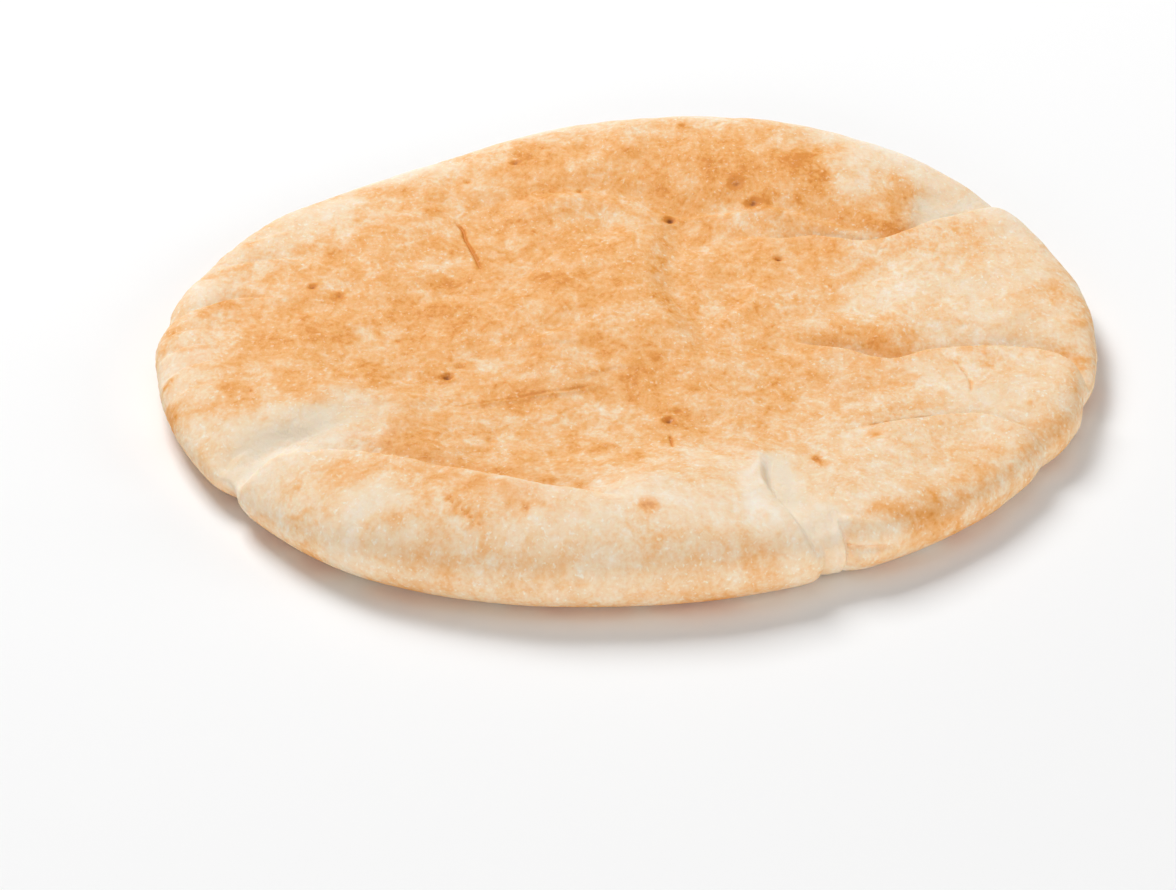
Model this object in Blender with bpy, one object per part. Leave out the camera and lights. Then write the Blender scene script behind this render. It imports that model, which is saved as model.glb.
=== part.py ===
"""A pita bread: one round, puffed flatbread lying flat, as a single closed solid.

Frame: metres, +Z up, origin at the middle of the underside. +Y is the side away from the viewer.
The crust is a shallow dish inside a puffed ring. Folds cross the ring, and the underside is flat.
"""

import math

import bmesh
import bpy
import numpy as np

MM = 0.001

# Plan outline: radius every 30 degrees, counter-clockwise from +X.
OUTLINE = (91, 93, 94, 90, 83, 87, 91, 92, 95, 91, 89, 89)
# The puffed ring just inside the edge: height of its crown, width of the rounded edge outside the crown.
RING_TOP = (9.5, 10.5, 13.5, 13.0, 10.5, 10.0, 10.0, 12.0, 15.0, 15.5, 11.5, 9.5)
EDGE_IN = (7, 8, 11, 12, 11, 9, 9, 13, 18, 18, 9, 6)
# Height of the widest line, and how far the underside stays off the table inside it.
EDGE_MID = (5.0, 5.0, 6.0, 6.0, 5.5, 5.0, 5.0, 5.5, 6.5, 6.5, 5.5, 4.8)
UNDER_IN = 9.0
MIDDLE_TOP = 8.6          # crust height at the middle
DISH_FROM, DISH_TO = 0.42, 0.78   # where the dish turns up into the ring, as a share of the radius
EDGE_CURVE = 2.2          # 2 is an ellipse, more is squarer

# Where a fold runs out over the edge: angle, depth, half width in degrees.
NOTCHES = (
    (-143.5, 2.2, 2.4),
    (-65.0, 3.0, 2.0),
    (-29.0, 1.2, 2.6),
    (-14.0, 0.8, 2.6),
    (33.0, 0.9, 3.0),
    (177.0, 1.2, 2.5),
)

# Folds: the line of the crest in plan, then (rise, width) on its left and on its right, how far it takes to
# drop from the crest to the other side, and the shares of the length over which it fades in and out.
FOLDS = (
    # ledge where the front ring drops to the dish
    (((-73, -64), (-69, -58), (-62, -54), (-53, -55), (-42, -59), (-31, -63.8), (-20, -69.3), (-9, -72.8), (3, -76)),
     (-4.2, 15), (0.7, 8), 3.2, 0.12, 0.2),
    # deep fold at the front left
    (((-80, -55), (-75, -51), (-68, -45), (-60, -40), (-50, -37), (-42, -38)),
     (-2.2, 6), (-2.4, 7), 1.5, 0.02, 0.6),
    # raised middle, its back and right edge
    (((-30, 41), (-20, 47), (-12, 49), (-5, 49), (3, 44), (4, 33), (3, 20), (5, 8), (9, -4), (8, -18)),
     (-0.8, 9), (1.2, 22), 7.0, 0.2, 0.25),
    # crack below the raised middle
    (((-37, -31), (-28, -28.4), (-20, -26.4), (-13, -24.4), (-6, -21.8), (0, -18)),
     (0.2, 7), (-0.2, 6), 1.5, 0.3, 0.3),
    # fold that runs out to the back right
    (((14, 34), (22, 36.4), (30, 35.4), (37, 35.9), (45, 33.4), (52, 33.9), (57, 36.9), (62, 40.8), (70, 44), (80, 48), (88, 52)),
     (-2.6, 10), (0.9, 9), 2.4, 0.45, 0.12),
    # two creases on the right
    (((30, -4.1), (37, -7.1), (43, -10.1), (50, -13.1), (57, -10.1), (64, -9.1), (72, -9.1), (79, -10.2), (85, -16), (89, -28)),
     (-3.0, 8), (0.9, 8), 1.6, 0.2, 0.1),
    (((38, -42.3), (46, -39.3), (55, -36.3), (64, -34.3), (71, -38), (76, -43), (80.5, -54)),
     (-0.8, 5), (0.5, 8), 1.6, 0.3, 0.1),
    # fold at the front right, where the puffed ring ends
    (((23.5, -47), (23.2, -55), (23.3, -63), (25.4, -70), (28.6, -77), (32, -85), (34.4, -94)),
     (-2.4, 7), (0.6, 6), 2.4, 0.3, 0.02),
    # waves across the ring on the left
    (((-92, 2), (-84, 5), (-76, 10), (-66, 10)),
     (-1.2, 5), (0.6, 6), 1.6, 0.1, 0.5),
    (((-90, 18), (-84, 21), (-77, 24), (-69, 26), (-60, 25)),
     (-0.9, 5), (0.5, 6), 1.6, 0.1, 0.5),
)
# Soft swellings and hollows: x, y, half lengths, turn in degrees, height.
SWELLS = (
    (-8, 10, 26, 20, 0, 1.0),
    (8, -80, 26, 9, 0, 0.5),
    (64, 52, 10, 5, 25, -1.2),
)


def smooth(t):
    t = np.clip(t, 0.0, 1.0)
    return t * t * (3.0 - 2.0 * t)


def around(values, angle):
    """A smooth closed curve through evenly spaced values."""
    v = np.asarray(values, float)
    t = np.mod(angle / (2.0 * math.pi), 1.0) * len(v)
    i = np.floor(t).astype(int) % len(v)
    f = t - np.floor(t)
    a, b, c, d = v[i - 1], v[i], v[(i + 1) % len(v)], v[(i + 2) % len(v)]
    return b + 0.5 * f * (c - a + f * (2 * a - 5 * b + 4 * c - d + f * (3 * (b - c) + d - a)))


def edge_radius(angle):
    r = around(OUTLINE, angle)
    for at, depth, half in NOTCHES:
        away = np.mod(angle - math.radians(at) + math.pi, 2 * math.pi) - math.pi
        r = r - depth * np.exp(-np.abs(away / math.radians(half)) ** 1.6)
    return r


def curve_through(points):
    """A smooth open curve through points, as short straight steps."""
    p = np.asarray(points, float)
    q = np.concatenate([[2 * p[0] - p[1]], p, [2 * p[-1] - p[-2]]])
    fine = []
    for k in range(len(p) - 1):
        a, b, c, d = q[k], q[k + 1], q[k + 2], q[k + 3]
        for f in np.arange(0, 1, 0.25):
            fine.append(b + 0.5 * f * (c - a + f * (2 * a - 5 * b + 4 * c - d + f * (3 * (b - c) + d - a))))
    return np.array(fine + [p[-1]])


def along(x, y, points):
    """Signed distance from a smooth line (left positive) and the share of its length."""
    fine = curve_through(points)
    step = np.hypot(*(fine[1:] - fine[:-1]).T)
    run = np.concatenate([[0], np.cumsum(step)])
    best = np.full(x.shape, 1e9)
    side = np.zeros(x.shape)
    share = np.zeros(x.shape)
    for k in range(len(step)):
        ax, ay = fine[k]
        ux, uy = (fine[k + 1] - fine[k]) / step[k]
        t = np.clip((x - ax) * ux + (y - ay) * uy, 0, step[k])
        dx, dy = x - ax - t * ux, y - ay - t * uy
        d = np.hypot(dx, dy)
        near = d < best
        best = np.where(near, d, best)
        side = np.where(near, np.where(ux * dy - uy * dx >= 0, 1.0, -1.0), side)
        share = np.where(near, (run[k] + t) / run[-1], share)
    return best * side, share


def fold_height(x, y, points, left, right, drop, fade_in, fade_out):
    """The crest is on the higher side of the line, and the other side is lower by the end of the drop."""
    d, share = along(x, y, points)
    mix = smooth(d / drop + (1.0 if left[0] > right[0] else 0.0))
    on_left = left[0] * np.exp(-np.abs(np.maximum(d, 0) / left[1]) ** 1.5)
    on_right = right[0] * np.exp(-np.abs(np.minimum(d, 0) / right[1]) ** 1.5)
    rise = on_left * mix + on_right * (1 - mix)
    return rise * smooth(share / fade_in) * smooth((1 - share) / fade_out)


def blob(x, y, cx, cy, a, b, turn):
    """A soft oval: 1 at its middle, a third at the half lengths a and b."""
    c, s = math.cos(math.radians(turn)), math.sin(math.radians(turn))
    u, v = ((x - cx) * c + (y - cy) * s) / a, ((y - cy) * c - (x - cx) * s) / b
    return np.exp(-(u * u + v * v))


def crust_height(x, y, folds, swells):
    """Height of the upper crust over the whole plan."""
    angle = np.arctan2(y, x)
    share = np.hypot(x, y) / edge_radius(angle)
    z = MIDDLE_TOP + (around(RING_TOP, angle) - MIDDLE_TOP) * smooth((share - DISH_FROM) / (DISH_TO - DISH_FROM))
    for fold in folds:
        z = z + fold_height(x, y, *fold)
    for cx, cy, a, b, turn, rise in swells:
        z = z + rise * blob(x, y, cx, cy, a, b, turn)
    return z


def disc_from_square(u, v):
    """Rings of squares become rings of circles: share of the radius, and angle."""
    share = np.maximum(np.abs(u), np.abs(v))
    wide = np.abs(u) >= np.abs(v)
    over, under = np.where(wide, v, u), np.where(wide, u, v)
    turn = over / np.where(under == 0, 1, under) * math.pi / 4
    angle = np.where(wide, turn + np.where(u < 0, math.pi, 0.0), math.pi / 2 - turn + np.where(v < 0, math.pi, 0.0))
    return share, angle


def pillow_grid(across, edge_rows):
    """A cube cut into across x across squares on top and underneath, with edge_rows rows between."""
    bm = bmesh.new()
    bmesh.ops.create_cube(bm, size=2.0)
    level = [e for e in bm.edges if abs(e.verts[0].co.z - e.verts[1].co.z) < 0.5]
    bmesh.ops.subdivide_edges(bm, edges=level, cuts=across - 1, use_grid_fill=True)
    upright = [e for e in bm.edges if abs(e.verts[0].co.z - e.verts[1].co.z) > 0.5]
    bmesh.ops.subdivide_edges(bm, edges=upright, cuts=edge_rows - 1, use_grid_fill=True)
    return bm


def plan_of(co):
    """Where a point of the cube goes in plan: x, y in millimetres, its angle, and the rounded edge's rise there."""
    share, angle = disc_from_square(co[:, 0], co[:, 1])
    turn = np.abs(co[:, 2]) * math.pi / 2
    out = np.maximum(np.cos(turn), 0.0) ** (2 / EDGE_CURVE)
    rise = np.sin(turn) ** (2 / EDGE_CURVE)
    width = np.where(co[:, 2] >= 0, around(EDGE_IN, angle), UNDER_IN)
    r = (edge_radius(angle) - width) * share + width * out
    return r * np.cos(angle), r * np.sin(angle), angle, rise

# Mesh: squares across the disc, and rows round its edge.
ACROSS = 48
EDGE_ROWS = 8

CRUST_COLOUR = (0.72, 0.47, 0.24, 1.0)
CRUST_ROUGHNESS = 0.72


def clear_scene():
    for obj in list(bpy.data.objects):
        bpy.data.objects.remove(obj, do_unlink=True)


def bread_material():
    material = bpy.data.materials.new("baked_crust")
    material.use_nodes = True
    shader = material.node_tree.nodes["Principled BSDF"]
    shader.inputs["Base Color"].default_value = CRUST_COLOUR
    shader.inputs["Roughness"].default_value = CRUST_ROUGHNESS
    shader.inputs["Metallic"].default_value = 0.0
    return material


def build_bread():
    bm = pillow_grid(ACROSS, EDGE_ROWS)
    co = np.array([v.co for v in bm.verts])
    x, y, angle, rise = plan_of(co)
    mid = around(EDGE_MID, angle)
    z = np.where(co[:, 2] >= 0, mid + (crust_height(x, y, FOLDS, SWELLS) - mid) * rise, mid * (1 - rise))
    # the origin is the middle of the bounding box, at the underside
    x, y = x - (x.min() + x.max()) / 2, y - (y.min() + y.max()) / 2
    for vert, point in zip(bm.verts, np.stack([x, y, z], -1)):
        vert.co = point * MM
    # the underside is one flat face
    flat = [f for f in bm.faces if all(v.co.z < 1e-7 for v in f.verts)]
    bmesh.ops.dissolve_faces(bm, faces=flat, use_verts=True)
    bmesh.ops.recalc_face_normals(bm, faces=bm.faces)
    mesh = bpy.data.meshes.new("pita_bread")
    bm.to_mesh(mesh)
    bm.free()
    mesh.shade_smooth()
    bread = bpy.data.objects.new("pita_bread", mesh)
    bread.data.materials.append(bread_material())
    return bread


clear_scene()
parts = bpy.data.collections.new("pita_bread_parts")
bpy.context.scene.collection.children.link(parts)
parts.objects.link(build_bread())
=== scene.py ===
"""A pita bread on a pale table: the fine surface and the baked crust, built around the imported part."""

import math

import bmesh
import bpy
import numpy as np
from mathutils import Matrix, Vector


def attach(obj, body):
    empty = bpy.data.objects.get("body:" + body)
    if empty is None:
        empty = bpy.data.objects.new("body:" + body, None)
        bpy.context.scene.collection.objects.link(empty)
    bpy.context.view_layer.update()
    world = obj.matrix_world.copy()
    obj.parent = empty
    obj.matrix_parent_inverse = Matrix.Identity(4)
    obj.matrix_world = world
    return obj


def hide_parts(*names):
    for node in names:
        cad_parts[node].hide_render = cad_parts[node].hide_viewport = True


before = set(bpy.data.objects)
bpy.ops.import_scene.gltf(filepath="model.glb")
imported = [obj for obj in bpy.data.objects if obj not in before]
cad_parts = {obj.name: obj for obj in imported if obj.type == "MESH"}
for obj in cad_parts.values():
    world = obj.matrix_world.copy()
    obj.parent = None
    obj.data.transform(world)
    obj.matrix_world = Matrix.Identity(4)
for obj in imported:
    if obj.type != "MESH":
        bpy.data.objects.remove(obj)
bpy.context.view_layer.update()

# ---------------------------------------------------------------- the bread's shape, in millimetres, as in the CAD

MM = 0.001

# Plan outline: radius every 30 degrees, counter-clockwise from +X.
OUTLINE = (91, 93, 94, 90, 83, 87, 91, 92, 95, 91, 89, 89)
# The puffed ring just inside the edge: height of its crown, width of the rounded edge outside the crown.
RING_TOP = (9.5, 10.5, 13.5, 13.0, 10.5, 10.0, 10.0, 12.0, 15.0, 15.5, 11.5, 9.5)
EDGE_IN = (7, 8, 11, 12, 11, 9, 9, 13, 18, 18, 9, 6)
# Height of the widest line, and how far the underside stays off the table inside it.
EDGE_MID = (5.0, 5.0, 6.0, 6.0, 5.5, 5.0, 5.0, 5.5, 6.5, 6.5, 5.5, 4.8)
UNDER_IN = 9.0
MIDDLE_TOP = 8.6          # crust height at the middle
DISH_FROM, DISH_TO = 0.42, 0.78   # where the dish turns up into the ring, as a share of the radius
EDGE_CURVE = 2.2          # 2 is an ellipse, more is squarer

# Where a fold runs out over the edge: angle, depth, half width in degrees.
NOTCHES = (
    (-143.5, 2.2, 2.4),
    (-65.0, 3.0, 2.0),
    (-29.0, 1.2, 2.6),
    (-14.0, 0.8, 2.6),
    (33.0, 0.9, 3.0),
    (177.0, 1.2, 2.5),
)

# Folds: the line of the crest in plan, then (rise, width) on its left and on its right, how far it takes to
# drop from the crest to the other side, and the shares of the length over which it fades in and out.
FOLDS = (
    # ledge where the front ring drops to the dish
    (((-73, -64), (-69, -58), (-62, -54), (-53, -55), (-42, -59), (-31, -63.8), (-20, -69.3), (-9, -72.8), (3, -76)),
     (-4.2, 15), (0.7, 8), 3.2, 0.12, 0.2),
    # deep fold at the front left
    (((-80, -55), (-75, -51), (-68, -45), (-60, -40), (-50, -37), (-42, -38)),
     (-2.2, 6), (-2.4, 7), 1.5, 0.02, 0.6),
    # raised middle, its back and right edge
    (((-30, 41), (-20, 47), (-12, 49), (-5, 49), (3, 44), (4, 33), (3, 20), (5, 8), (9, -4), (8, -18)),
     (-0.8, 9), (1.2, 22), 7.0, 0.2, 0.25),
    # crack below the raised middle
    (((-37, -31), (-28, -28.4), (-20, -26.4), (-13, -24.4), (-6, -21.8), (0, -18)),
     (0.2, 7), (-0.2, 6), 1.5, 0.3, 0.3),
    # fold that runs out to the back right
    (((14, 34), (22, 36.4), (30, 35.4), (37, 35.9), (45, 33.4), (52, 33.9), (57, 36.9), (62, 40.8), (70, 44), (80, 48), (88, 52)),
     (-2.6, 10), (0.9, 9), 2.4, 0.45, 0.12),
    # two creases on the right
    (((30, -4.1), (37, -7.1), (43, -10.1), (50, -13.1), (57, -10.1), (64, -9.1), (72, -9.1), (79, -10.2), (85, -16), (89, -28)),
     (-3.0, 8), (0.9, 8), 1.6, 0.2, 0.1),
    (((38, -42.3), (46, -39.3), (55, -36.3), (64, -34.3), (71, -38), (76, -43), (80.5, -54)),
     (-0.8, 5), (0.5, 8), 1.6, 0.3, 0.1),
    # fold at the front right, where the puffed ring ends
    (((23.5, -47), (23.2, -55), (23.3, -63), (25.4, -70), (28.6, -77), (32, -85), (34.4, -94)),
     (-2.4, 7), (0.6, 6), 2.4, 0.3, 0.02),
    # waves across the ring on the left
    (((-92, 2), (-84, 5), (-76, 10), (-66, 10)),
     (-1.2, 5), (0.6, 6), 1.6, 0.1, 0.5),
    (((-90, 18), (-84, 21), (-77, 24), (-69, 26), (-60, 25)),
     (-0.9, 5), (0.5, 6), 1.6, 0.1, 0.5),
)
# Soft swellings and hollows: x, y, half lengths, turn in degrees, height.
SWELLS = (
    (-8, 10, 26, 20, 0, 1.0),
    (8, -80, 26, 9, 0, 0.5),
    (64, 52, 10, 5, 25, -1.2),
)


def smooth(t):
    t = np.clip(t, 0.0, 1.0)
    return t * t * (3.0 - 2.0 * t)


def around(values, angle):
    """A smooth closed curve through evenly spaced values."""
    v = np.asarray(values, float)
    t = np.mod(angle / (2.0 * math.pi), 1.0) * len(v)
    i = np.floor(t).astype(int) % len(v)
    f = t - np.floor(t)
    a, b, c, d = v[i - 1], v[i], v[(i + 1) % len(v)], v[(i + 2) % len(v)]
    return b + 0.5 * f * (c - a + f * (2 * a - 5 * b + 4 * c - d + f * (3 * (b - c) + d - a)))


def edge_radius(angle):
    r = around(OUTLINE, angle)
    for at, depth, half in NOTCHES:
        away = np.mod(angle - math.radians(at) + math.pi, 2 * math.pi) - math.pi
        r = r - depth * np.exp(-np.abs(away / math.radians(half)) ** 1.6)
    return r


def curve_through(points):
    """A smooth open curve through points, as short straight steps."""
    p = np.asarray(points, float)
    q = np.concatenate([[2 * p[0] - p[1]], p, [2 * p[-1] - p[-2]]])
    fine = []
    for k in range(len(p) - 1):
        a, b, c, d = q[k], q[k + 1], q[k + 2], q[k + 3]
        for f in np.arange(0, 1, 0.25):
            fine.append(b + 0.5 * f * (c - a + f * (2 * a - 5 * b + 4 * c - d + f * (3 * (b - c) + d - a))))
    return np.array(fine + [p[-1]])


def along(x, y, points):
    """Signed distance from a smooth line (left positive) and the share of its length."""
    fine = curve_through(points)
    step = np.hypot(*(fine[1:] - fine[:-1]).T)
    run = np.concatenate([[0], np.cumsum(step)])
    best = np.full(x.shape, 1e9)
    side = np.zeros(x.shape)
    share = np.zeros(x.shape)
    for k in range(len(step)):
        ax, ay = fine[k]
        ux, uy = (fine[k + 1] - fine[k]) / step[k]
        t = np.clip((x - ax) * ux + (y - ay) * uy, 0, step[k])
        dx, dy = x - ax - t * ux, y - ay - t * uy
        d = np.hypot(dx, dy)
        near = d < best
        best = np.where(near, d, best)
        side = np.where(near, np.where(ux * dy - uy * dx >= 0, 1.0, -1.0), side)
        share = np.where(near, (run[k] + t) / run[-1], share)
    return best * side, share


def fold_height(x, y, points, left, right, drop, fade_in, fade_out):
    """The crest is on the higher side of the line, and the other side is lower by the end of the drop."""
    d, share = along(x, y, points)
    mix = smooth(d / drop + (1.0 if left[0] > right[0] else 0.0))
    on_left = left[0] * np.exp(-np.abs(np.maximum(d, 0) / left[1]) ** 1.5)
    on_right = right[0] * np.exp(-np.abs(np.minimum(d, 0) / right[1]) ** 1.5)
    rise = on_left * mix + on_right * (1 - mix)
    return rise * smooth(share / fade_in) * smooth((1 - share) / fade_out)


def blob(x, y, cx, cy, a, b, turn):
    """A soft oval: 1 at its middle, a third at the half lengths a and b."""
    c, s = math.cos(math.radians(turn)), math.sin(math.radians(turn))
    u, v = ((x - cx) * c + (y - cy) * s) / a, ((y - cy) * c - (x - cx) * s) / b
    return np.exp(-(u * u + v * v))


def crust_height(x, y, folds, swells):
    """Height of the upper crust over the whole plan."""
    angle = np.arctan2(y, x)
    share = np.hypot(x, y) / edge_radius(angle)
    z = MIDDLE_TOP + (around(RING_TOP, angle) - MIDDLE_TOP) * smooth((share - DISH_FROM) / (DISH_TO - DISH_FROM))
    for fold in folds:
        z = z + fold_height(x, y, *fold)
    for cx, cy, a, b, turn, rise in swells:
        z = z + rise * blob(x, y, cx, cy, a, b, turn)
    return z


def disc_from_square(u, v):
    """Rings of squares become rings of circles: share of the radius, and angle."""
    share = np.maximum(np.abs(u), np.abs(v))
    wide = np.abs(u) >= np.abs(v)
    over, under = np.where(wide, v, u), np.where(wide, u, v)
    turn = over / np.where(under == 0, 1, under) * math.pi / 4
    angle = np.where(wide, turn + np.where(u < 0, math.pi, 0.0), math.pi / 2 - turn + np.where(v < 0, math.pi, 0.0))
    return share, angle


def pillow_grid(across, edge_rows):
    """A cube cut into across x across squares on top and underneath, with edge_rows rows between."""
    bm = bmesh.new()
    bmesh.ops.create_cube(bm, size=2.0)
    level = [e for e in bm.edges if abs(e.verts[0].co.z - e.verts[1].co.z) < 0.5]
    bmesh.ops.subdivide_edges(bm, edges=level, cuts=across - 1, use_grid_fill=True)
    upright = [e for e in bm.edges if abs(e.verts[0].co.z - e.verts[1].co.z) > 0.5]
    bmesh.ops.subdivide_edges(bm, edges=upright, cuts=edge_rows - 1, use_grid_fill=True)
    return bm


def plan_of(co):
    """Where a point of the cube goes in plan: x, y in millimetres, its angle, and the rounded edge's rise there."""
    share, angle = disc_from_square(co[:, 0], co[:, 1])
    turn = np.abs(co[:, 2]) * math.pi / 2
    out = np.maximum(np.cos(turn), 0.0) ** (2 / EDGE_CURVE)
    rise = np.sin(turn) ** (2 / EDGE_CURVE)
    width = np.where(co[:, 2] >= 0, around(EDGE_IN, angle), UNDER_IN)
    r = (edge_radius(angle) - width) * share + width * out
    return r * np.cos(angle), r * np.sin(angle), angle, rise

# ---------------------------------------------------------------- finer shape than the CAD carries

# Folds: crest line, (rise, width) left and right, drop, fades.
FINE_FOLDS = (
    # lip beside the deep fold at the front left
    (((-79, -60), (-76, -56), (-74, -51), (-72, -47), (-68, -44)), (-0.7, 3), (0.3, 3), 1.4, 0.05, 0.5),
    # pleat at the front right: its crest bends back along the ring
    (((34.2, -80), (35.2, -77), (36.8, -75.2), (39.5, -74.6), (44, -74.6), (51, -72)), (-0.6, 2.5), (0.45, 5), 2.2, 0.1, 0.6),
    # step between the toasted patch and the pale hollow at the back right
    (((59, 57), (58, 51), (57, 45), (55, 40), (50, 36)), (-0.4, 5), (0.15, 5), 2.6, 0.3, 0.3),
    (((20, 45.5), (30, 45.5), (38, 42.5), (45, 38.5), (51, 35.5)), (-1.0, 7), (0.4, 5), 3.0, 0.35, 0.35),
    (((62, 43), (66, 46), (72, 46.5), (79, 46)), (-0.5, 2.5), (0.25, 3), 1.0, 0.3, 0.3),
    # short folds round the left ring
    (((-84, 33), (-79, 33), (-73, 35), (-65, 38)), (-0.5, 4), (0.3, 5), 1.4, 0.1, 0.5),
    (((-93, -5), (-85, -4), (-77, -3)), (-0.35, 3), (0.2, 3), 1.4, 0.1, 0.6),
    (((-92, -13), (-84, -10), (-76, -9)), (-0.4, 3), (0.25, 3), 1.4, 0.1, 0.6),
    (((-91, -22), (-84, -18), (-76, -16)), (-0.35, 3), (0.2, 3), 1.4, 0.1, 0.6),
    (((-88, -30), (-82, -26), (-75, -25)), (-0.3, 3), (0.2, 3), 1.4, 0.1, 0.6),
    # shallow waves on the right ring
    (((92, 16), (84, 18), (77, 21)), (0.25, 4), (-0.3, 4), 2.0, 0.1, 0.6),
    (((92, 4), (85, 3), (76, 4)), (0.2, 4), (-0.25, 4), 2.0, 0.1, 0.6),
    # valleys down the front ring
    (((-57, -80), (-51, -76), (-47, -70)), (0.2, 4), (-0.5, 4), 2.5, 0.05, 0.5),
    (((-38, -92), (-36, -86), (-37, -80)), (0.15, 4), (-0.25, 4), 2.5, 0.05, 0.5),
    # ripples inside the dish
    (((-27, 44), (-22, 45), (-17, 48)), (-0.4, 3), (0.1, 4), 1.2, 0.3, 0.3),
    (((-30, -9), (-22, -7), (-12, -3), (-4, 2)), (-0.35, 6), (0.3, 6), 3.0, 0.3, 0.3),
    (((-11, -21), (-6, -16), (0, -14), (5, -15)), (0.15, 4), (-0.2, 4), 1.6, 0.3, 0.3),
    (((14, -2), (20, 4), (24, 12), (24, 22)), (-0.3, 6), (0.3, 7), 3.0, 0.3, 0.3),
    (((4, 48), (10, 45), (18, 45), (26, 46)), (-0.4, 4), (0.25, 4), 2.0, 0.3, 0.3),
)
# Fine cracks: the line, depth and half width; the depth also sets the painted shade drawn along each crack.
CRACKS = (
    (((-35, 44), (-33, 40), (-32.6, 37), (-31.5, 33), (-30, 28), (-29, 23)), 0.45, 0.35),
    (((-34, -30), (-27, -28), (-20.4, -26)), 0.1, 0.35),
    (((-22, -26.6), (-16.6, -24.9), (-11, -23.8), (-7, -21.8)), 0.15, 0.4),
    (((61, -12.6), (62.6, -14.5), (63.8, -18), (64.6, -21.5), (64.3, -26)), 0.22, 0.32),
    (((-34, -73), (-30, -78), (-26, -82.5)), 0.35, 0.35),
    (((7.4, -41), (7.8, -48)), 0.3, 0.3),
    (((34, -4.2), (37, -5.5), (43, -8.5), (50, -11.5), (57, -8.5), (64, -7.5), (72, -7.5)), 0.3, 0.5),
    (((44, -38.7), (50, -36.5), (57, -34.1)), 0.25, 0.45),
)
# Small burst blisters and scorched pits: x, y, radius, depth, how dark.
PITS = (
    (8.6, 44.6, 0.9, 0.5, 1.0), (25.6, 49.2, 1.1, 0.4, 0.85), (30.1, 28.3, 0.8, 0.4, 0.85), (22.3, 55.2, 1.3, 0.25, 0.7),
    (-34.6, -18.2, 0.9, 0.5, 1.0), (-32.4, -14.5, 0.7, 0.15, 0.45), (7.2, -35.2, 0.9, 0.5, 0.75), (8.8, -31.6, 0.8, 0.2, 0.4),
    (-62, 15.2, 0.8, 0.3, 0.75), (-56.6, 12.8, 0.8, 0.25, 0.6), (-22.8, 65.2, 0.9, 0.35, 0.75), (-17.2, 71.4, 0.6, 0.1, 0.4),
    (-32.4, 58.4, 0.7, 0.2, 0.45), (-9.4, 54, 0.7, 0.15, 0.45), (-26, -42.6, 0.8, 0.2, 0.45), (34.4, -52, 0.8, 0.15, 0.6),
    (12, 79.4, 0.8, 0.2, 0.5), (19.4, 80.6, 0.8, 0.2, 0.5), (-44.6, -4.4, 0.6, 0.1, 0.35), (-43, -10, 0.6, 0.1, 0.3),
    (2.2, -77.2, 0.9, 0.15, 0.45), (-18.8, -77.8, 0.7, 0.1, 0.35), (45.6, -43, 0.8, 0.1, 0.3), (-71.8, -27.4, 0.8, 0.15, 0.45),
    (-13.8, -61.6, 0.7, 0.1, 0.35), (69, -16, 0.6, 0.1, 0.25), (13.2, -23.6, 0.6, 0.1, 0.25), (23, -14.6, 0.6, 0.1, 0.3),
)
LUMP_SIZES = ((15.0, 0.42, 11), (7.0, 0.26, 12), (3.6, 0.10, 13), (1.9, 0.035, 14))   # size, height, seed


def bumps(x, y, size, seed):
    """Smooth random relief between -1 and 1, on a square lattice of the given size."""
    rng = np.random.default_rng(seed)
    lattice = rng.uniform(-1, 1, (96, 96))
    u, v = x / size + 48.0, y / size + 48.0
    i, j = np.floor(u).astype(int), np.floor(v).astype(int)
    fu, fv = u - i, v - j
    fu, fv = fu * fu * fu * (fu * (6 * fu - 15) + 10), fv * fv * fv * (fv * (6 * fv - 15) + 10)
    i, j = np.clip(i, 0, 94), np.clip(j, 0, 94)
    low = lattice[i, j] * (1 - fu) + lattice[i + 1, j] * fu
    high = lattice[i, j + 1] * (1 - fu) + lattice[i + 1, j + 1] * fu
    return low * (1 - fv) + high * fv


def crust_detail(x, y):
    """What the fine surface adds to the crust's height."""
    z = np.zeros(x.shape)
    for size, height, seed in LUMP_SIZES:
        z = z + height * bumps(x, y, size, seed)
    for points, depth, half in CRACKS:
        d, share = along(x, y, points)
        z = z - depth * np.exp(-(d / half) ** 2) * smooth(share / 0.15) * smooth((1 - share) / 0.15)
        z = z + 0.12 * depth * np.exp(-((np.abs(d) - 2.6 * half) / (1.6 * half)) ** 2) * smooth(share / 0.15) * smooth((1 - share) / 0.15)
    for px, py, radius, depth, _ in PITS:
        d = np.hypot(x - px, y - py) / radius
        z = z - depth * np.exp(-d * d) + 0.35 * depth * np.exp(-((d - 1.9) / 0.7) ** 2)
    return z


# The pleat on the rim at the front right: its upright edge's angle, and how far the rim stands out by distance along it.
PLEAT_AT = -63.8
SLIT_LEVEL = 0.15


def pleat(angle, level, radius):
    """How far the rim is pushed outwards by the pleat and the slit beside it, and the slit's share."""
    s = np.radians(np.mod(np.degrees(angle) - PLEAT_AT + 180, 360) - 180) * radius
    near = smooth((level + 1.0) / 0.35)
    lobe = 1.5 * smooth(-s / 0.8) * np.exp(-np.abs((s + 1.6) / 1.9) ** 2.0)
    step_in = -1.1 * np.exp(-np.maximum(s, 0) / 5.0) * smooth(s / 0.5 + 0.5) * smooth((level + 0.12) / 0.2)
    slit = smooth((s - 0.2) / 0.8) * smooth((11.0 - s) / 7.0) * np.exp(-((level - SLIT_LEVEL + 0.012 * s) / 0.045) ** 2)
    dent = -0.8 * np.exp(-((s + 4.4) / 1.2) ** 2)
    return near * (lobe + dent) + step_in - 1.1 * slit, slit
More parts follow.
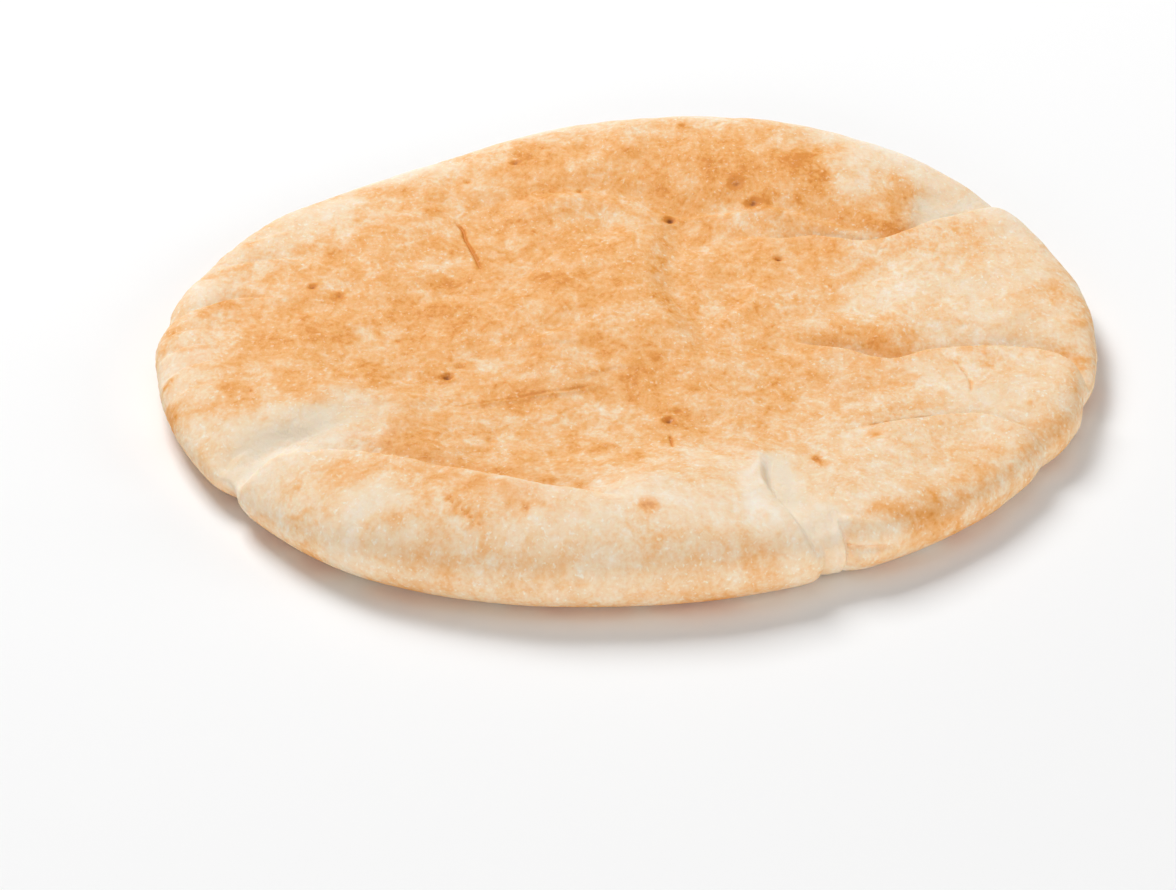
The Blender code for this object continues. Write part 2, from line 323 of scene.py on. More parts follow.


# ---------------------------------------------------------------- how far the crust is baked, in plan, with painted shade in its creases and painted highlight on some crests

# Outline of the toasted area: the ring outside it stays cream.
TOASTED = (
    (-76, 2), (-78, 12), (-75, 20), (-68, 28), (-61, 38), (-53, 47), (-44, 56), (-33, 63), (-22, 72), (-8, 75), (4, 79), (20, 79),
    (33, 75), (41, 69), (44, 60), (43, 52), (46, 50), (52, 56), (58, 54), (57, 46), (55, 36), (52, 30), (49, 20), (47, 10),
    (52, 2), (54, -6), (50, -14), (48, -26), (40, -36), (26, -44), (12, -47), (0, -52), (-6, -60), (-12, -67), (-20, -68), (-34, -64),
    (-46, -57), (-50, -48), (-46, -38), (-49, -29), (-56, -25), (-63, -27), (-68, -25), (-77, -21), (-79, -14), (-78, -6),
)
PATCH_STRENGTH = 1.4
# Patches: x, y, half lengths, turn in degrees, more (or less) baked. A few darker ones are painted shade and a few
# paler ones painted highlight, as marked below.
PATCHES = (
    # darker in the dish and at the back
    (29, 62, 12, 6, 0, 0.3), (6, 57, 7, 4, 0, 0.1), (22, 57.5, 2.6, 3.4, 0, 0.3), (-18, 50.5, 5, 3.4, 0, 0.38), (-20, 65, 7, 6, 20, 0.16),
    (53.6, 45, 4, 5.5, -10, 0.26), (47, 42, 6, 4, 0, 0.18), (55, 53, 4, 4, 0, 0.16), (-12, 14, 8, 8, 30, 0.16), (-27, 17, 7, 8, 0, 0.11), (-16, -14, 5, 4, 0, 0.1), (-56, -32, 4, 4, 0, 0.12), (66, -10, 7, 5, 0, 0.15), (20, -50, 6, 4, 0, 0.1), (-6, -25, 4, 3, 0, 0.1), (-37, 7, 6, 8, 20, 0.24), (-38, -9, 3.6, 7, 0, 0.16),
    (-61, -4, 9, 4, 22, 0.26), (-63, 10, 4, 5, 0, 0.14), (2, -12, 5, 6, 0, 0.26), (0, -20, 7, 4.5, 0, 0.22),
    # the strips at (-40, -50.5), (-24, -57.5), (-9, -64) and (-26, -54) lie just behind the front ledge's crest: partly
    # toast, partly painted shade
    (-22, -25, 5, 4, 0, 0.17), (-38, -41, 5, 5, 0, 0.14), (-40, -50.5, 9, 3, -14, 0.17), (-24, -57.5, 9, 2.6, -20, 0.2), (-9, -64, 5, 2.4, -15, 0.12), (-26, -54, 2.4, 2.4, 0, 0.12),
    (8, 10, 4, 6, 25, 0.18), (18, 23, 6, 4, 0, 0.17), (32, 26, 6, 4, 0, 0.14), (12, 46, 3, 8, 0, 0.08), (-33, 35, 3, 6, 0, 0.15), (-8, 32, 5, 5, 0, 0.1),
    # (46, -5) is painted shade in the hollow behind the right crease, and (-9, -22.4) painted shade along the crack
    # below the raised middle
    (-72, -27, 3, 4.4, 0, 0.18), (-61, -21, 4, 6, 0, 0.12), (46, -5, 5, 3, -10, 0.24), (-9, -22.4, 3, 1.1, 20, 0.3), (26, -8, 2.6, 4, 0, 0.13), (25, -24, 2.6, 4.4, 0, 0.16),
    (8, -34, 3, 3, 0, 0.1), (-48, -18, 4, 5, 0, 0.12), (-46, 44, 4, 3, 0, 0.12), (-50, 54, 5, 4, 0, 0.12), (-38, 47, 2.6, 4, 0, 0.14),
    (-58, 24, 5, 3, 0, 0.07), (-22, 30, 7, 5, 0, 0.07), (32, 45, 5, 3, 0, 0.07), (3, 69, 9, 4, 0, 0.07), (-33, 20, 5, 5, 0, 0.1),
    (24, 36, 6, 4, 0, 0.07), (-45, 4, 5, 4, 0, 0.09), (-42, -46, 5, 4, 0, 0.08),
    (30, 0, 3, 6, 0, 0.06), (-8, -45, 6, 4, 0, 0.08), (-29, -45, 5, 5, 0, 0.06), (40, 62, 4, 7, 0, 0.14),
    (-74, -32, 7, 6, 0, 0.09), (-50, -31, 8, 4, 0, 0.07), (-36, -32, 5, 4, 0, 0.07), (19, 56, 6, 3, 0, 0.08), (15, 9, 4, 4, 0, 0.07), (-80, 4.6, 4, 1.3, 28, 0.25), (-73, 8, 4, 1.4, 12, 0.12),
    # paler inside it
    (-60, -53, 7, 7, 0, -0.08), (-52, -76, 7, 7, 0, -0.1), (-8, -84, 8, 4, 0, -0.07), (44, -66, 6, 5, 0, -0.08), (34, 6, 12, 5, 0, -0.09), (52, -1, 6, 3, 0, -0.07),
    # (-34, 76) and (53, 73) pale the far rim: painted highlight
    (-2, -40, 12, 4, 0, -0.08), (-35, 26, 4, 4, 0, -0.08), (-64, 46, 14, 5, 48, -0.1), (-48, 40, 4, 4, 0, -0.07), (-34, 76, 14, 3.4, 28, -0.16), (53, 73, 12, 6, -40, -0.1), (42, 31, 4, 4, 0, -0.08),
    (-41, 25, 6, 4, 30, -0.14), (-4, 44, 6, 3.4, 0, -0.1), (24, 45, 4, 5, 0, -0.14), (-28, -11, 6, 3.6, 0, -0.12), (18, 1, 3, 8, 0, -0.1),
    (-56, 16, 5, 4, 0, -0.12), (-24, -50, 4, 5, 0, -0.14), (16, -30, 6, 5, 0, -0.06), (45, 57, 5, 5, 20, -0.11), (-50, 34, 6, 4, 0, -0.08),
    # (-46, 70), (-22, 82), (12, 89) and (54, 76) pale the far rim: painted highlight
    (-9, -31, 9, 4, 10, -0.06), (-2, 4, 5, 5, 0, -0.06), (-24, 10, 5, 5, 0, -0.04), (42, 12, 7, 9, 0, -0.2), (42, 36, 6, 5, 0, -0.14), (16, -16, 5, 5, 0, -0.12), (32, -32, 5, 4, 0, -0.1), (24, -41, 6, 4, 0, -0.1), (-8, 25, 5, 5, 0, -0.1), (-42, 26, 5, 4, 0, -0.08), (-30, -47, 6, 3, 0, -0.1), (16, 66, 4, 4, 0, -0.1), (-48, 48, 5, 5, 0, -0.08), (-46, 70, 16, 5, 35, -0.14), (-22, 82, 14, 4, 20, -0.2), (12, 89, 16, 3, 0, -0.16), (54, 76, 13, 4, -40, -0.14), (76, 44, 6, 10, 15, -0.08), (40, -12, 7, 5, 0, -0.08),
    (-70, 22, 5, 3, 15, -0.1), (-12, -18, 5, 3, 0, -0.08), (34, -33, 6, 5, 0, -0.08), (6, -42, 9, 4, 0, -0.06), (44, 30, 4, 6, 0, -0.06),
    (-28, 44, 4, 3, 0, -0.06), (-30, 56, 5, 4, 0, -0.06), (-20, -34, 5, 3, 0, -0.06), (-56, -14, 4, 4, 0, -0.06), (4, 18, 2.6, 5, 0, -0.06),
    # these five strips lie on the crests of the front ledge and of the right crease: painted highlight
    (-42, -60, 9, 2.2, -18, -0.1), (-26, -66.5, 9, 2.4, -18, -0.12), (-12, -72, 8, 2.6, -12, -0.1), (50, -14, 8, 2.4, -10, -0.08), (66, -10, 8, 2.4, 0, -0.08),
    # toasted spots on the ring
    (-86, -30, 3.4, 3.4, -48, 0.5), (-88, -3, 3, 4, 0, 0.2), (-84, -9, 5, 1.3, 12, 0.16), (-86, -18, 4, 1.4, 20, 0.2), (-80, 32, 2, 3.4, 0, 0.18),
    (-74, 34.5, 1.4, 1.4, 0, 0.2), (-80, 23, 5, 2, 10, 0.16), (-70, 46, 5, 5, 50, 0.16), (-62, 56, 5, 4, 40, 0.12), (84, 16, 4, 5, 0, 0.18),
    # (62, -7.4) and (76, -6.4) are painted shade in the hollow behind the right crease
    (88, 5, 2.4, 6, 0, 0.16), (86, -8, 3, 5, 0, 0.2), (68, 37, 5, 6, 0, 0.16), (60, 32, 6, 6, 0, 0.08), (62, -7.4, 7, 2.4, 0, 0.26), (76, -6.4, 7, 2.2, 0, 0.18), (50, -33, 6, 2.4, 10, 0.12),
    (79, -36, 4, 4, 0, 0.24), (84, -22, 3, 4, 0, 0.14), (69, -16, 1.2, 1, 0, 0.16), (58, -46, 8, 7, 0, 0.1), (72, -50, 3, 6, -25, 0.1),
    (64, -58, 6, 3, 42, 0.16), (58, -63, 5, 3, 42, 0.2), (52, -68, 5, 3, 35, 0.2), (46, -73, 5, 1.6, 20, 0.22), (46, -43, 1.6, 1.6, 0, 0.2),
    (36.2, -52, 1, 1.6, 0, 0.5), (40, -60, 6, 7, 0, 0.1), (-52, -62, 5, 4, 0, 0.22), (-46, -60, 6, 3, 0, 0.1), (-36, -70, 6, 5, -15, 0.24),
    (-28, -72, 8, 5, -15, 0.26), (-18, -74, 6, 4, 0, 0.12), (-38, -80, 6, 3, 0, 0.16), (-19, -78, 1.4, 1.4, 0, 0.15), (-63, -64, 2.4, 2.2, 0, 0.16),
    (-30, -88, 9, 2.4, -3, 0.12), (-60, -73, 5, 4, 30, 0.08), (2, -77, 2, 1, 0, 0.42), (5, -78.6, 1.4, 0.9, 0, 0.2), (2, -86, 7, 3, 5, 0.16),
    (21, -86, 3, 2, 8, 0.12), (10, -60, 6, 5, 0, 0.06), (58, 8, 7, 6, 0, 0.06), (54, -24, 6, 5, 0, 0.07), (22, -47, 8, 2.4, 0, 0.1),
    (60, 20, 5, 5, 0, 0.05), (86, -34, 3, 3, 0, 0.1), (79, -47, 2, 4, -30, 0.1), (32, -46, 5, 4, 0, 0.1), (50, -36, 4, 3, 0, 0.08),
)
# Pale, greyish hollows that the oven's heat missed: x, y, half lengths, turn, strength. The two on the shaded side of
# the front-right fold, at (27.4, -61) and (31.6, -75), are partly painted shade.
UNBAKED_AND_SHADED = (
    (-60, -38, 10, 4.5, 12, 1.0), (-67, -42, 7, 3, 35, 0.9), (-74, -48, 4, 3, 45, 0.7), (-52, -33, 5, 5, 0, 0.45), (-70, -53, 4, 4, 30, 0.6),
    (62, 49, 4.5, 6, -10, 0.9), (68, 51, 7, 2.6, 10, 0.7), (60, 41.5, 2.4, 3.4, 0, 0.7), (-48, -74, 4, 6, -30, 0.4),
    (27.4, -61, 3, 9, 10, 0.85), (31.6, -75, 2.4, 5, 18, 0.8), (70, -28, 5, 5, 0, 0.35), (66, 17, 6, 3, 0, 0.2), (40, -22, 3, 7, 0, 0.25),
    (36, -58, 5, 4, 0, 0.2), (-12, -19, 6, 4, 0, 0.2), (78, 22, 5, 3, 0, 0.2), (-40, -84, 6, 3, -20, 0.2),
)
# Floury, almost white crests: x, y, half lengths, turn, strength. The crest beside the front-right fold at (21.6, -60)
# and (24.2, -71) and the pleat's crest at (36, -79) are flour with painted highlight; the far rim at (66, 68), (-42,
# 66), (-52, 62), (-30, 76) and (58, 66) is painted highlight.
FLOUR_AND_HIGHLIGHT_SPOTS = (
    (-61, -50, 8, 4, 12, 0.6), (-68, -56, 3, 4, 0, 0.6), (-54, -45, 6, 1.6, 8, 0.5), (21.6, -60, 1.5, 8, 1, 0.75), (24.2, -71, 1.5, 7, 24, 0.8),
    (5, -72, 22, 4, 0, 0.3), (12, -78, 14, 5, 0, 0.25), (66, 68, 12, 3, -50, 0.25), (-84, 14, 4, 4, 0, 0.3), (-84, 27, 3, 3, 0, 0.3),
    (36, -79, 1.4, 4, 0, 0.5), (-42, 66, 10, 2.4, 32, 0.25), (-10, -80, 14, 3, 0, 0.2), (75, 44, 4, 2.4, 0, 0.25), (-84, -13, 4, 3, 15, 0.25),
    (-85, -24, 3, 2, 30, 0.2), (-52, 62, 14, 3, 42, 0.35), (-30, 76, 12, 3, 25, 0.35), (58, 66, 14, 3.4, -42, 0.3), (80, 38, 3, 10, 15, 0.2),
)


def inside_distance(x, y, corners):
    """Distance inside a closed smooth outline, in millimetres, negative outside."""
    p = np.asarray(corners, float)
    closed = np.concatenate([p[-1:], p, p[:2]])
    fine = []
    for k in range(1, len(closed) - 2):
        a, b, c, d = closed[k - 1], closed[k], closed[k + 1], closed[k + 2]
        for f in (0.0, 0.5):
            fine.append(b + 0.5 * f * (c - a + f * (2 * a - 5 * b + 4 * c - d + f * (3 * (b - c) + d - a))))
    fine = np.array(fine)
    best, inside = np.full(x.shape, 1e9), np.zeros(x.shape, bool)
    for (ax, ay), (bx, by) in zip(fine, np.roll(fine, -1, axis=0)):
        ux, uy = bx - ax, by - ay
        t = np.clip(((x - ax) * ux + (y - ay) * uy) / (ux * ux + uy * uy), 0, 1)
        best = np.minimum(best, np.hypot(x - ax - t * ux, y - ay - t * uy))
        if by != ay:
            inside ^= ((ay > y) != (by > y)) & (x < ax + (y - ay) * (bx - ax) / (by - ay))
    return np.where(inside, best, -best)


def baking(x, y, angle):
    """Per point of the upper crust, each about 0 to 1: toasting, with painted shade in the cracks and behind some
    creases; paleness where the heat missed, with painted shade beside the front-right fold; flouring, with painted
    highlight on some crests and the far rim; and scorching.
    """
    # wavering borders
    wx = x + 3.2 * bumps(x, y, 9.0, 21) + 1.6 * bumps(x, y, 3.4, 22)
    wy = y + 3.2 * bumps(x, y, 9.0, 23) + 1.6 * bumps(x, y, 3.4, 24)
    toast_and_shade = 0.27 + 0.31 * smooth(inside_distance(wx, wy, TOASTED) / 13.0 + 0.55)
    for cx, cy, a, b, turn, more in PATCHES:
        toast_and_shade = toast_and_shade + PATCH_STRENGTH * more * blob(wx, wy, cx, cy, a, b, turn)
    unbaked_and_shade = np.zeros(x.shape)
    for cx, cy, a, b, turn, much in UNBAKED_AND_SHADED:
        unbaked_and_shade = np.maximum(unbaked_and_shade, much * blob(wx, wy, cx, cy, a * 1.2, b * 1.2, turn))
    flour_and_highlight = np.zeros(x.shape)
    for cx, cy, a, b, turn, much in FLOUR_AND_HIGHLIGHT_SPOTS:
        flour_and_highlight = np.maximum(flour_and_highlight, much * blob(wx, wy, cx, cy, a * 1.2, b * 1.2, turn))
    scorch, spots_and_crack_shade = np.zeros(x.shape), np.zeros(x.shape)
    for px, py, radius, _, dark in PITS:
        d = np.hypot(x - px + 0.3 * bumps(x, y, 1.3, 25), y - py + 0.3 * bumps(x, y, 1.3, 26)) / radius
        scorch = np.maximum(scorch, dark * np.exp(-(d / 1.0) ** 2))
        toast_and_shade = toast_and_shade + 0.16 * dark * np.exp(-(d / 2.8) ** 2)
        spots_and_crack_shade = np.maximum(spots_and_crack_shade, 0.8 * dark * np.exp(-(d / 1.25) ** 2))
    # painted shade in the cracks: the crust is drawn browner along each one
    for points, depth, half in CRACKS:
        d, share = along(x, y, points)
        spots_and_crack_shade = np.maximum(spots_and_crack_shade, 1.3 * depth * np.exp(-(d / (1.2 * half)) ** 2) * smooth(share / 0.15) * smooth((1 - share) / 0.15))
    toast_and_shade = toast_and_shade - 0.30 * unbaked_and_shade - 0.18 * flour_and_highlight
    # the darkest patches stay mottled
    toast_and_shade = np.where(toast_and_shade > 0.6, 0.6 + 0.26 * (1 - np.exp(-np.maximum(toast_and_shade - 0.6, 0) / 0.26)), toast_and_shade)
    # the scorched pits and the painted crack shade go on top
    toast_and_shade = toast_and_shade + spots_and_crack_shade
    return toast_and_shade, unbaked_and_shade, flour_and_highlight, scorch


# ---------------------------------------------------------------- mesh

ACROSS, UNDER_STEP, EDGE_ROWS = 216, 4, 18


def near_detail(x, y, wide):
    """Points near a crease, crack or pit, where the mesh is cut finer."""
    found = np.zeros(x.shape, bool)
    if wide:
        for fold in (*FOLDS, *FINE_FOLDS):
            if fold[3] <= 2.4:
                d, _ = along(x, y, fold[0])
                found |= np.abs(d) < 1.8
    for points, _, half in CRACKS:
        d, _ = along(x, y, points)
        found |= np.abs(d) < (2.2 if wide else 1.1)
    for px, py, radius, _, _ in PITS:
        found |= np.hypot(x - px, y - py) < radius * (3.0 if wide else 1.9)
    return found


def near_pleat(x, y, level, wide):
    s = np.radians(np.degrees(np.arctan2(y, x)) - PLEAT_AT) * np.hypot(x, y)
    out = (np.hypot(x, y) > 78) & (np.abs(level) < (0.9999 if wide else 0.25))
    return out & (s > -6) & (s < 12)


def coarser_underneath(bm, across, step):
    """The underside keeps one line in every few."""
    cell = 2.0 / across
    cut = []
    for e in bm.edges:
        a, b = e.verts[0].co, e.verts[1].co
        if a.z > -0.9999 or b.z > -0.9999:
            continue
        for one, other in ((0, 1), (1, 0)):
            if abs(a[one] - b[one]) < cell * 0.1 and abs(a[one]) < 0.9999:
                if round((a[one] + 1) / cell) % step:
                    cut.append(e)
    bmesh.ops.dissolve_edges(bm, edges=cut, use_verts=True, use_face_split=False)


def pita_mesh():
    bm = pillow_grid(ACROSS, EDGE_ROWS)
    coarser_underneath(bm, ACROSS, UNDER_STEP)
    for wide in (True, False):
        bm.verts.index_update()
        co = np.array([v.co for v in bm.verts])
        x, y, _, _ = plan_of(co)
        fine = near_detail(x, y, wide) & (co[:, 2] > 0.05)
        fine |= near_pleat(x, y, co[:, 2], wide)
        edges = [e for e in bm.edges if fine[e.verts[0].index] and fine[e.verts[1].index]]
        bmesh.ops.subdivide_edges(bm, edges=edges, cuts=1, use_grid_fill=True)
    bm.verts.index_update()
    co = np.array([v.co for v in bm.verts])
    x, y, angle, rise = plan_of(co)
    over = co[:, 2] >= 0
    mid = around(EDGE_MID, angle)
    top = crust_height(x, y, (*FOLDS, *FINE_FOLDS), SWELLS)
    # fine relief fades out down the rounded edge
    z_top = mid + (top - mid) * rise + crust_detail(x, y) * (0.25 + 0.75 * rise)
    share, _ = disc_from_square(co[:, 0], co[:, 1])
    under = mid * (1 - rise) + np.where(co[:, 2] < -0.9999, 0.25 * smooth((0.97 - share) / 0.1) * (0.5 + 0.5 * bumps(x, y, 17.0, 31)), 0.0)
    z = np.where(over, z_top, under)
    # the wall wanders in and out a little
    band = np.exp(-(co[:, 2] / 0.6) ** 2) * (np.abs(co[:, 2]) < 0.9999)
    push = band * (0.30 * bumps(np.degrees(angle), np.zeros_like(angle), 7.0, 41) + 0.14 * bumps(np.degrees(angle), co[:, 2] * 9, 2.4, 42))
    edge, slit = pleat(angle, co[:, 2], np.hypot(x, y))
    outer, _ = disc_from_square(co[:, 0], co[:, 1])
    push = push + np.where(outer > 0.9999, edge, edge * smooth((outer - 0.90) / 0.1))
    x, y = x + push * np.cos(angle), y + push * np.sin(angle)
    toast_and_shade, unbaked_and_shade, flour_and_highlight, scorch = baking(x, y, angle)
    # painted shade in the slit on the rim: drawn browner, and darkened through the scorch value
    toast_and_shade = toast_and_shade + 0.12 * slit * (outer > 0.9999)
    scorch = np.maximum(scorch, 0.45 * slit * (outer > 0.9999))
    x, y = x - (x.min() + x.max()) / 2, y - (y.min() + y.max()) / 2
    z = z - z.min()
    for vert, point in zip(bm.verts, np.stack([x, y, z], -1)):
        vert.co = point * MM
    bmesh.ops.recalc_face_normals(bm, faces=bm.faces)

    # a map of the crust: the upper side in a large circle, the underside in a small one
    uv = bm.loops.layers.uv.new("OFBake")
    up = np.abs(co[:, 2])
    reach = np.where(up > 0.9999, share * 0.87, 1.0 - 0.13 * up)
    for face in bm.faces:
        above = sum(co[v.index, 2] for v in face.verts) > 0
        cx, cy, size = (0.37, 0.37, 0.36) if above else (0.805, 0.805, 0.185)
        for loop in face.loops:
            i = loop.vert.index
            loop[uv].uv = (cx + size * reach[i] * math.cos(angle[i]), cy + (size if above else -size) * reach[i] * math.sin(angle[i]))
    mesh = bpy.data.meshes.new("pita_crust")
    bm.to_mesh(mesh)
    bm.free()
    mesh.shade_smooth()
    # share of underside browning: full underneath, and rising down the lower wall, where it is painted shade
    lower = np.clip(-co[:, 2] * 1.6, 0, 1)
    for name, values in (("toast_and_shade", toast_and_shade), ("unbaked_and_shade", unbaked_and_shade), ("flour_and_highlight", flour_and_highlight), ("scorch", scorch), ("underside", lower)):
        layer = mesh.attributes.new(name, "FLOAT", "POINT")
        layer.data.foreach_set("value", np.clip(values, -1, 2).astype(np.float32))
    return mesh


# ---------------------------------------------------------------- material

# Crust colours from unbaked cream to scorched brown: place on the scale, linear red, green, blue.
CRUST_SCALE = (
    (0.00, (0.905, 0.800, 0.660)),
    (0.12, (0.890, 0.725, 0.530)),
    (0.25, (0.880, 0.645, 0.410)),
    (0.38, (0.870, 0.565, 0.310)),
    (0.50, (0.865, 0.495, 0.230)),
    (0.62, (0.850, 0.440, 0.165)),
    (0.75, (0.820, 0.380, 0.108)),
    (0.88, (0.775, 0.320, 0.066)),
    (1.00, (0.690, 0.250, 0.038)),
)
UNBAKED_AND_SHADE_COLOUR = (0.760, 0.620, 0.440)
FLOUR_AND_HIGHLIGHT_COLOUR = (0.930, 0.860, 0.760)
SCORCH_COLOUR = (0.190, 0.045, 0.004)


class Nodes:
    """Adds nodes to a material and wires them by socket."""

    def __init__(self, material):
        material.use_nodes = True
        self.tree = material.node_tree
        self.tree.nodes.clear()
        self.column = 0

    def add(self, kind, inputs=(), **settings):
        node = self.tree.nodes.new(kind)
        node.location = (self.column * 190 % 3000, -(self.column * 190 // 3000) * 320)
        self.column += 1
        for name, value in settings.items():
            setattr(node, name, value)
        for socket, value in dict(inputs).items():
            if isinstance(value, bpy.types.NodeSocket):
                self.tree.links.new(value, node.inputs[socket])
            else:
                node.inputs[socket].default_value = value
        return node

    def value(self, name):
        return self.add("ShaderNodeAttribute", attribute_name=name, attribute_type="GEOMETRY").outputs["Fac"]

    def maths(self, operation, a, b=0.0, c=0.0, clamp=False):
        return self.add("ShaderNodeMath", {0: a, 1: b, 2: c}, operation=operation, use_clamp=clamp).outputs[0]

    def noise(self, place, scale, detail, rough, distort=0.0):
        return self.add("ShaderNodeTexNoise", {"Vector": place, "Scale": scale, "Detail": detail, "Roughness": rough, "Distortion": distort}).outputs["Fac"]

    def blend(self, share, a, b, mode="MIX"):
        node = self.add("ShaderNodeMix", data_type="RGBA", blend_type=mode, clamp_factor=True)
        for socket, value in ((node.inputs[0], share), (node.inputs[6], a), (node.inputs[7], b)):
            if isinstance(value, bpy.types.NodeSocket):
                self.tree.links.new(value, socket)
            else:
                socket.default_value = (*value, 1.0) if isinstance(value, tuple) else value
        return node.outputs[2]

    def between(self, value, low, high, to_low=0.0, to_high=1.0, smooth_step=True):
        return self.add("ShaderNodeMapRange", {"Value": value, "From Min": low, "From Max": high, "To Min": to_low, "To Max": to_high},
                        interpolation_type="SMOOTHSTEP" if smooth_step else "LINEAR", clamp=True).outputs["Result"]


def crust_material():
    material = bpy.data.materials.new("baked_crust")
    n = Nodes(material)
    place = n.add("ShaderNodeTexCoord").outputs["Object"]
    toast_and_shade, unbaked_and_shade, flour_and_highlight, scorch, underside_and_wall_shade = (n.value(name) for name in ("toast_and_shade", "unbaked_and_shade", "flour_and_highlight", "scorch", "underside"))

    deeper = n.add("ShaderNodeMapping", {"Vector": place, "Scale": (1.0, 0.72, 1.0)}).outputs[0]
    clouds = n.noise(deeper, 85.0, 3.0, 0.6, 0.5)          # about 12 mm
    mottle = n.noise(deeper, 260.0, 3.0, 0.6, 0.4)         # about 4 mm
    grain = n.noise(deeper, 1050.0, 2.0, 0.6)              # about 1 mm
    flecks = n.noise(place, 560.0, 1.0, 0.5)
    dust = n.noise(deeper, 1350.0, 1.0, 0.5)

    # the underside is baked in broad blotches, paler towards its edge, and the same browning reaches up the lower wall
    # as painted shade
    blotch = n.noise(place, 48.0, 5.0, 0.58, 0.8)
    beneath = n.between(blotch, 0.36, 0.66, 0.22, 0.86)
    baked = n.maths("ADD", n.maths("MULTIPLY", toast_and_shade, n.maths("SUBTRACT", 1.0, underside_and_wall_shade)), n.maths("MULTIPLY", beneath, underside_and_wall_shade))

    # mottling is strongest where the crust is half baked
    depth = n.between(baked, 0.1, 0.5, 0.42, 1.0)
    wander = n.maths("ADD", n.maths("MULTIPLY", n.maths("SUBTRACT", clouds, 0.5), 0.66), n.maths("MULTIPLY", n.maths("SUBTRACT", mottle, 0.5), 1.15))
    wander = n.maths("ADD", wander, n.maths("MULTIPLY", n.maths("SUBTRACT", grain, 0.5), 0.72))
    baked = n.maths("ADD", baked, n.maths("MULTIPLY", wander, depth))

    # flour grains lighten the crust in specks, more in some places than in others
    specks = n.between(dust, 0.60, 0.76)
    patchy = n.between(clouds, 0.38, 0.62, 0.35, 1.0)
    specks = n.maths("MULTIPLY", specks, patchy)
    baked = n.maths("SUBTRACT", baked, n.maths("MULTIPLY", specks, 0.25))

    ramp = n.add("ShaderNodeValToRGB", {"Fac": baked})
    ramp.color_ramp.interpolation = "B_SPLINE"
    stops = ramp.color_ramp.elements
    while len(stops) < len(CRUST_SCALE):
        stops.new(0.5)
    for stop, (at, colour) in zip(stops, CRUST_SCALE):
        stop.position, stop.color = at, (*colour, 1.0)
    colour = ramp.outputs["Color"]

    # pale unbaked crust, and painted shade beside the front-right fold
    colour = n.blend(n.maths("MULTIPLY", unbaked_and_shade, 0.62), colour, UNBAKED_AND_SHADE_COLOUR)
    # flour on the pale crests, and painted highlight on some of them
    flour_and_highlight_mix = n.maths("MAXIMUM", n.maths("MULTIPLY", flour_and_highlight, 0.55), n.maths("MULTIPLY", specks, 0.16))
    colour = n.blend(flour_and_highlight_mix, colour, FLOUR_AND_HIGHLIGHT_COLOUR)
    # small brown freckles where it is baked
    freckle = n.maths("MULTIPLY", n.between(flecks, 0.68, 0.78, 0.0, 0.14), n.between(baked, 0.3, 0.7))
    colour = n.blend(freckle, colour, (0.42, 0.15, 0.03))
    # scorched pits, and painted shade in the slit on the front-right rim
    singe = n.maths("MULTIPLY", scorch, n.between(grain, 0.25, 0.6, 0.75, 1.0))
    colour = n.blend(n.between(singe, 0.3, 0.75, 0.0, 0.72), colour, (0.42, 0.125, 0.014))
    colour = n.blend(n.between(singe, 0.55, 1.0, 0.0, 0.92), colour, SCORCH_COLOUR)

    rough = n.between(baked, 0.1, 0.8, 0.86, 0.62, False)
    rough = n.maths("ADD", rough, n.maths("MULTIPLY", n.maths("SUBTRACT", mottle, 0.5), 0.2))

    # fine relief: pores, wrinkles of the dried skin, and flour grains
    skin = n.add("ShaderNodeTexVoronoi", {"Vector": n.add("ShaderNodeMapping", {"Vector": place, "Scale": (1.0, 1.35, 1.0)}).outputs[0],
                                          "Scale": 620.0, "Randomness": 1.0}, feature="SMOOTH_F1").outputs["Distance"]
    relief = n.maths("ADD", n.maths("MULTIPLY", mottle, 1.0), n.maths("MULTIPLY", grain, 0.5))
    relief = n.maths("ADD", relief, n.maths("MULTIPLY", skin, 0.12))
    relief = n.maths("ADD", relief, n.maths("MULTIPLY", specks, 0.1))
    bump = n.add("ShaderNodeBump", {"Height": relief, "Strength": 0.6, "Distance": 0.0005}).outputs["Normal"]

    shader = n.add("ShaderNodeBsdfPrincipled", {
        "Base Color": colour, "Roughness": rough, "Normal": bump, "Specular IOR Level": 0.18,
        "Subsurface Weight": 0.22, "Subsurface Radius": (0.0035, 0.0018, 0.0008), "Subsurface Scale": 1.0, "Sheen Weight": 0.0})
    n.tree.links.new(shader.outputs[0], n.add("ShaderNodeOutputMaterial").inputs["Surface"])
    return material


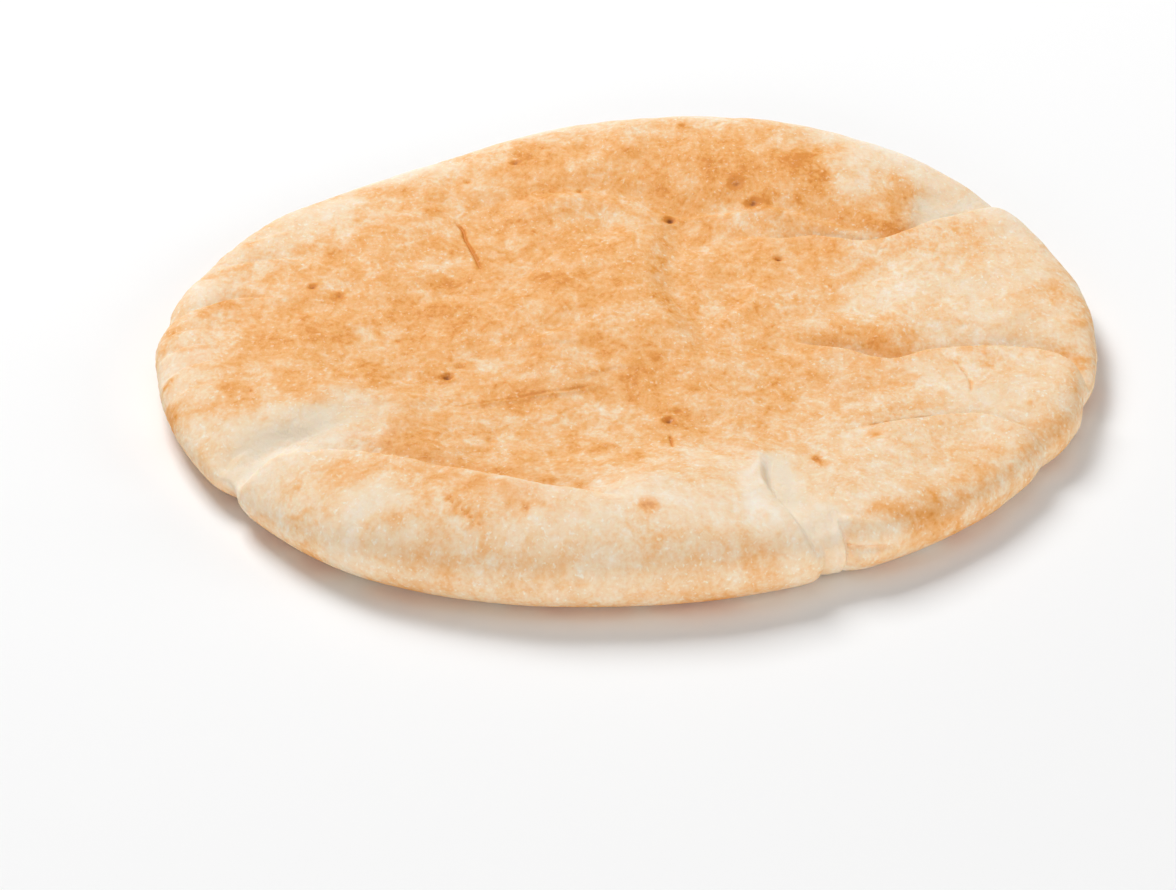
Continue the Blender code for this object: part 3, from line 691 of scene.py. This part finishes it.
def floor_material():
    material = bpy.data.materials.new("pale_table")
    n = Nodes(material)
    shader = n.add("ShaderNodeBsdfPrincipled", {"Base Color": (0.93, 0.93, 0.93, 1.0), "Roughness": 0.75, "Specular IOR Level": 0.15})
    n.tree.links.new(shader.outputs[0], n.add("ShaderNodeOutputMaterial").inputs["Surface"])
    return material


# ---------------------------------------------------------------- scene

def link(name, data, place=(0, 0, 0), turn=(0, 0, 0)):
    obj = bpy.data.objects.new(name, data)
    obj.location, obj.rotation_euler = place, [math.radians(a) for a in turn]
    bpy.context.scene.collection.objects.link(obj)
    return obj


def soft_light(name, place, aim, size, power, colour=(1, 1, 1)):
    data = bpy.data.lights.new(name, "AREA")
    data.shape, data.size, data.size_y = "RECTANGLE", size[0], size[1]
    data.energy, data.color = power, colour
    obj = link(name, data, place)
    away = np.array(place, float) - np.array(aim, float)
    obj.rotation_mode = "QUATERNION"
    obj.rotation_quaternion = Vector(away).to_track_quat("Z", "Y")
    return obj


pita = link("pita_crust", pita_mesh())
pita.data.materials.append(crust_material())
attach(pita, "root")
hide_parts("pita_bread")

bm = bmesh.new()
bmesh.ops.create_grid(bm, x_segments=8, y_segments=8, size=3.0)
floor_mesh = bpy.data.meshes.new("table_top")
bm.to_mesh(floor_mesh)
bm.free()
floor = link("table_top", floor_mesh)
floor.data.materials.append(floor_material())

soft_light("key_soft", (-0.61, 1.15, 1.22), (0, 0, 0), (0.8, 0.8), 30.0)
soft_light("over_soft", (0.0, 0.0, 1.10), (0, 0, 0), (1.0, 0.8), 1.2)
soft_light("right_soft", (1.00, -0.20, 0.26), (0, 0, 0), (0.4, 0.7), 3.0)
soft_light("front_soft", (-0.05, -1.05, 0.24), (0, 0, 0), (1.0, 0.4), 5.2)

world = bpy.data.worlds.new("studio")
world.use_nodes = True
world.node_tree.nodes["Background"].inputs["Color"].default_value = (1.0, 1.0, 1.0, 1.0)
world.node_tree.nodes["Background"].inputs["Strength"].default_value = 0.20
bpy.context.scene.world = world
bpy.context.scene.view_settings.view_transform = "Standard"

lens = bpy.data.cameras.new("camera")
lens.sensor_width, lens.lens = 36.0, 136.2
lens.clip_start, lens.clip_end = 0.05, 20.0
camera = link("camera", lens, (-0.0076, -0.7530, 0.4266), (59.5, 0, 0))
bpy.context.scene.camera = camera
